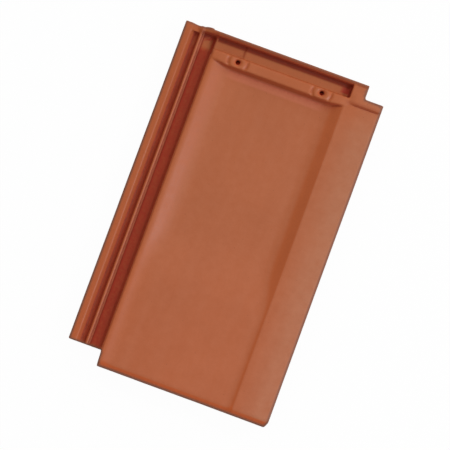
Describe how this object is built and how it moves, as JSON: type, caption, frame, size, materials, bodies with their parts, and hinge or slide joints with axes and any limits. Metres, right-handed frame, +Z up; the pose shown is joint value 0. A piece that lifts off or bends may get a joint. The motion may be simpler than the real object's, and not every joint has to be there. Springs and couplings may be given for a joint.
{
  "type": "interlocking clay roof tile",
  "caption": "Flat clay roof tile with a dished pan, interlocking side and head channels, a cover flap, nail holes and batten nibs.",
  "frame": {"origin": "middle of the overall plan box, on the floor plane that the nibs and the tail lip rest on", "axes": "+X across the tile towards the cover flap, +Y along the tile towards the head, +Z up out of the weather side"},
  "size_m": [0.26, 0.43, 0.036],
  "materials": {
    "clay": "matt fired clay with a faint satin sheen"
  },
  "bodies": {
    "root": {"clay_tile": "clay"}
  },
  "joints": []
}
